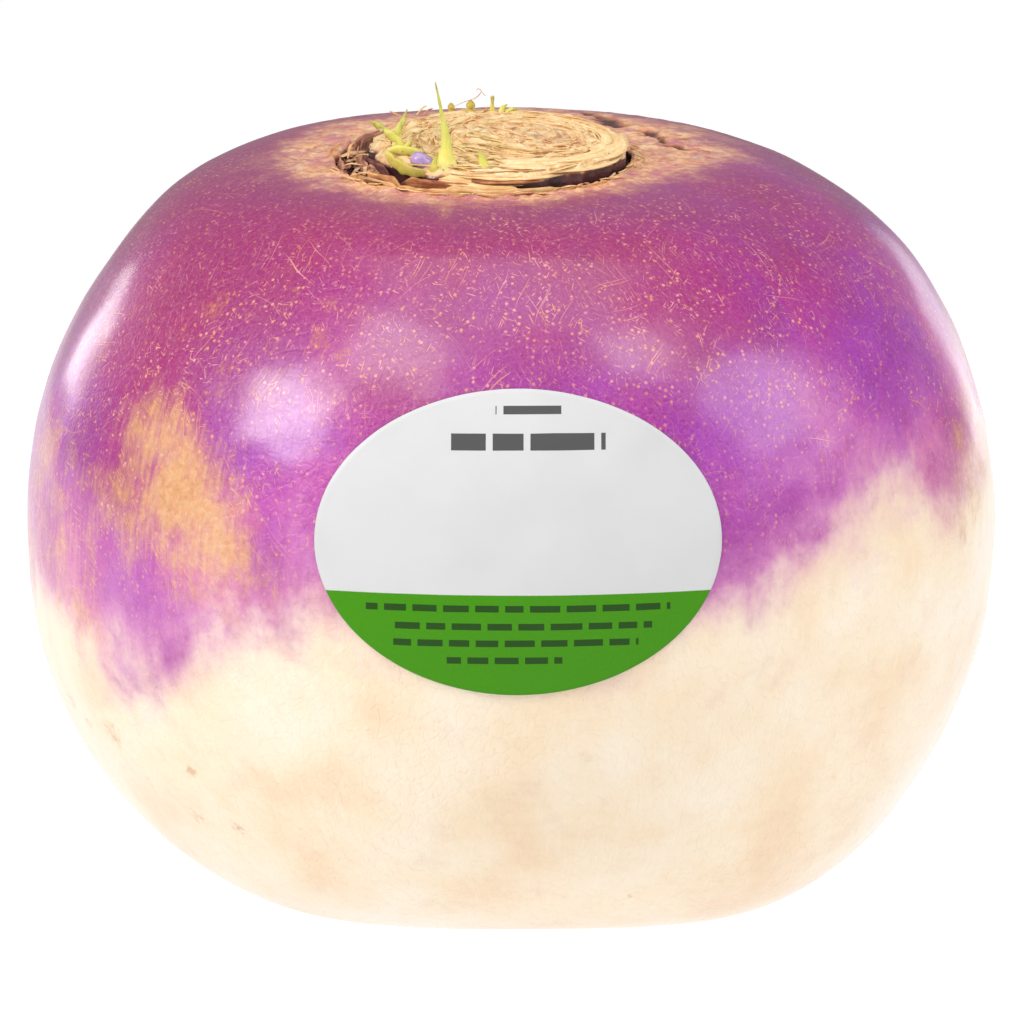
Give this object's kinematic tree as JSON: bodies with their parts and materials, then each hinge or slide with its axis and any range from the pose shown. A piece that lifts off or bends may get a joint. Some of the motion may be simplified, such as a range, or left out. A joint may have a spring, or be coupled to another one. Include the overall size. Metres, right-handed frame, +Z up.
{
  "type": "turnip",
  "caption": "Purple-topped turnip root with a trimmed crown of dry leaf bases and young shoots and a plain oval sticker, resting on its small flat underside.",
  "frame": {"origin": "on the resting surface, under the middle of the root's widest ring", "axes": "+Z up through the crown, -Y towards the front that carries the oval sticker, +X to the right when facing the sticker"},
  "size_m": [0.0924, 0.0927, 0.078],
  "materials": {
    "root_skin": "living root skin, semi-gloss: cream below, magenta-purple above, tan where the leaves were cut off",
    "dry_leaf_base": "dry papery leaf base, matte, fibrous, straw coloured",
    "dry_husk": "dry brown husk, matte, fibrous",
    "green_shoot": "fresh yellow-green shoot, satin",
    "lilac_bud": "smooth lilac leaf bud, glossy",
    "label_paper": "coated sticker paper, satin, white above with a plain green band below"
  },
  "bodies": {
    "root": {"turnip_root": "root_skin", "leaf_base_front": "dry_leaf_base", "leaf_base_front_inner": "dry_leaf_base", "leaf_base_front_left": "dry_leaf_base", "leaf_base_left_outer": "dry_husk", "leaf_base_left_inner": "dry_husk", "leaf_base_back_left": "dry_husk", "leaf_base_back": "dry_husk", "shoot_tall": "green_shoot", "shoot_stub": "green_shoot", "shoot_left": "green_shoot", "shoot_left_upright": "green_shoot", "bud_sheath": "green_shoot", "leaf_bud": "lilac_bud", "rear_stub_left": "green_shoot", "rear_stub_middle": "green_shoot", "rear_stub_tall": "green_shoot", "rear_stub_right": "green_shoot", "oval_label": "label_paper"}
  },
  "joints": []
}
